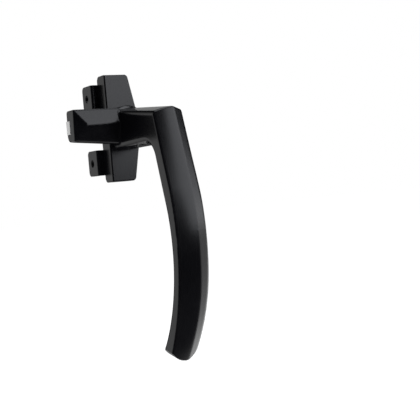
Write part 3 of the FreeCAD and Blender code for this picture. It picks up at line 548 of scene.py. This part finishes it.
def make_machining_tools():
    """Pad slot, pin hole, shaft bore, locking screw hole and the quarter groove for the stop."""
    over, fit = 1.0 * MM, 0.05 * MM
    pin_spare = 0.2 * MM
    groove_play, groove_depth = 0.3 * MM, 1.5 * MM
    low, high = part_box("nose_pad")
    slot = [Vector((nose_end - over, 0, low.z - fit)), Vector((high.x + fit, 0, low.z - fit)),
            Vector((high.x + fit, 0, high.z + fit)), Vector((nose_end - over, 0, high.z + fit))]
    yield prism("slot_tool", slot, Vector((0, lever_back + over, 0)),
                [(0, low.y - fit - lever_back - over, 0)])
    low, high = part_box("nose_pad_pin")
    yield make_cylinder("pin_tool", (low + high) / 2, (high.x - low.x) / 2,
                        low.y - pin_spare, lever_back + over, 1)
    low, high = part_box("pivot_shaft")
    yield make_cylinder("shaft_tool", Vector(), (high.x - low.x) / 2, low.y,
                        lever_back + over, 1)
    low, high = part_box("lever_grub_screw")
    yield make_cylinder("screw_tool", (low + high) / 2, (high.x - low.x) / 2,
                        -hub_radius - over, 0, 2)
    low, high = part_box("stop_pin")
    ring = (low.z + high.z) / 2
    half = (high.x - low.x) / 2 + groove_play
    quarter = [math.radians(6 * n) for n in range(16)]
    groove = [(ring - half, -half), (ring + half, -half)]
    groove += [((ring + half) * math.cos(a), (ring + half) * math.sin(a)) for a in quarter]
    groove += [(-half, ring + half), (-half, ring - half)]
    groove += [((ring - half) * math.cos(a), (ring - half) * math.sin(a))
               for a in reversed(quarter)]
    outline = [Vector((x, 0, z)) for x, z in groove]
    yield prism("groove_tool", outline, Vector((0, lever_back + over, 0)),
                [(0, -over - groove_depth, 0)])


def make_lever():
    """The casting's parts run together, its skin evened out, its end cut, its holes machined."""
    grain = 0.42 * MM
    lever = make_neck_and_grip()
    nose, hub = make_nose(), make_hub()
    deselect()
    for part in (nose, hub, lever):
        part.select_set(True)
    bpy.context.view_layer.objects.active = lever
    bpy.ops.object.join()
    apply_modifier(lever, "REMESH", mode="VOXEL", voxel_size=grain)
    cut_away(lever, make_end_cutter())
    apply_modifier(lever, "REMESH", mode="VOXEL", voxel_size=grain)
    apply_modifier(lever, "SMOOTH", factor=0.5, iterations=6)
    for tool in make_machining_tools():
        cut_away(lever, tool)
    deselect()
    lever.select_set(True)
    bpy.context.view_layer.objects.active = lever
    bpy.ops.object.shade_smooth_by_angle(angle=math.radians(40))
    return lever


lever = make_lever()
lever.data.materials.clear()
lever.data.materials.append(powder_coat)
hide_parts("lever")
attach(lever, "lever_assembly")

# ------------------------------------------------------------ floor, light and camera
# A pale table in a white studio, with a large soft box in front on the right, a second one
# overhead and a dim room behind the camera. The camera stands low, on the nose's side.

floor_drop = 30 * MM
deselect()
bpy.ops.mesh.primitive_plane_add(size=8.0, location=(0, 0, cad_box[0].z - floor_drop))
floor = bpy.context.object
floor.name = "floor"
material, nodes, shader, place = finish_of("pale_table", Roughness=0.9, Emission_Strength=1.0)
nodes.feed(shader, {
    "Base Color": nodes.between(nodes.noise(place, 30.0), (0.26, 0.26, 0.26, 1),
                                (0.30, 0.30, 0.30, 1)),
    "Emission Color": (1, 1, 1, 1)})
floor.data.materials.append(material)
floor.visible_glossy = False
floor.visible_shadow = False

scene = bpy.context.scene
world = bpy.data.worlds.new("studio")
scene.world = world
world.use_nodes = True
air = Nodes(world.node_tree)
sky = air.node("ShaderNodeTexCoord", output="Generated")


def lobe(direction, wide, narrow):
    """1 inside narrow degrees of a direction, 0 outside wide degrees."""
    along = air.node("ShaderNodeVectorMath", {"operation": "DOT_PRODUCT"},
                     {0: sky, 1: Vector(direction).normalized()}, output=1)
    return air.ramp(along, math.cos(math.radians(wide)), math.cos(math.radians(narrow)))


# The dim room, the wall behind on both sides, two reflectors low behind and below the neck, and
# two on the right.
surroundings = (0.008
                + 0.45 * lobe((0.45, 0.85, 0.28), 24, 8)
                + 0.5 * lobe((-0.6, 0.8, 0.0), 34, 12)
                + 0.9 * lobe((0.03, 0.87, -0.48), 20, 8)
                + 0.6 * lobe((0.49, 0.1, -0.87), 32, 12)
                + 0.9 * lobe((0.9, -0.42, -0.1), 28, 8)
                + 3.4 * lobe((0.93, 0.1, -0.38), 32, 12))
to_camera = air.node("ShaderNodeLightPath", output="Is Camera Ray")
brightness = surroundings * (1 - to_camera) + to_camera
backdrop = next(n for n in world.node_tree.nodes if n.type == "BACKGROUND")
backdrop.inputs["Color"].default_value = (1, 1, 1, 1)
air.feed(backdrop, {"Strength": brightness})


def soft_box(name, azimuth, elevation, distance, width, height, power):
    """Area light aimed at the middle of the handle; azimuth 0 is in front, plus to the right."""
    middle = Vector((0, -0.03, -0.02))
    a, e = math.radians(azimuth), math.radians(elevation)
    away = Vector((math.sin(a) * math.cos(e), -math.cos(a) * math.cos(e), math.sin(e)))
    lamp = bpy.data.lights.new(name, "AREA")
    lamp.shape = "RECTANGLE"
    lamp.size, lamp.size_y = width, height
    lamp.energy = power
    lamp.color = (0.93, 0.95, 1.0)
    box = bpy.data.objects.new(name, lamp)
    box.location = away * distance + middle
    box.rotation_euler = away.to_track_quat("Z", "Y").to_euler()
    scene.collection.objects.link(box)


soft_box("front_soft_box", 37, 24, 1.2, 1.2, 1.0, 7.5)
soft_box("top_soft_box", 20, 80, 1.4, 1.2, 1.2, 9.0)

look_azimuth, look_elevation, roll = 29.455, -1.335, 5.035
a, e = math.radians(look_azimuth), math.radians(look_elevation)
look = Vector((math.sin(a) * math.cos(e), math.cos(a) * math.cos(e), math.sin(e)))
lens = bpy.data.cameras.new("camera")
lens.lens = 85.9
camera = bpy.data.objects.new("camera", lens)
camera.location = (-0.2265, -0.4965, -0.0351)
camera.rotation_mode = "QUATERNION"
camera.rotation_quaternion = (look.to_track_quat("-Z", "Y")
                              @ Quaternion((0, 0, 1), -math.radians(roll)))
scene.collection.objects.link(camera)
scene.camera = camera
scene.view_settings.view_transform = "Standard"
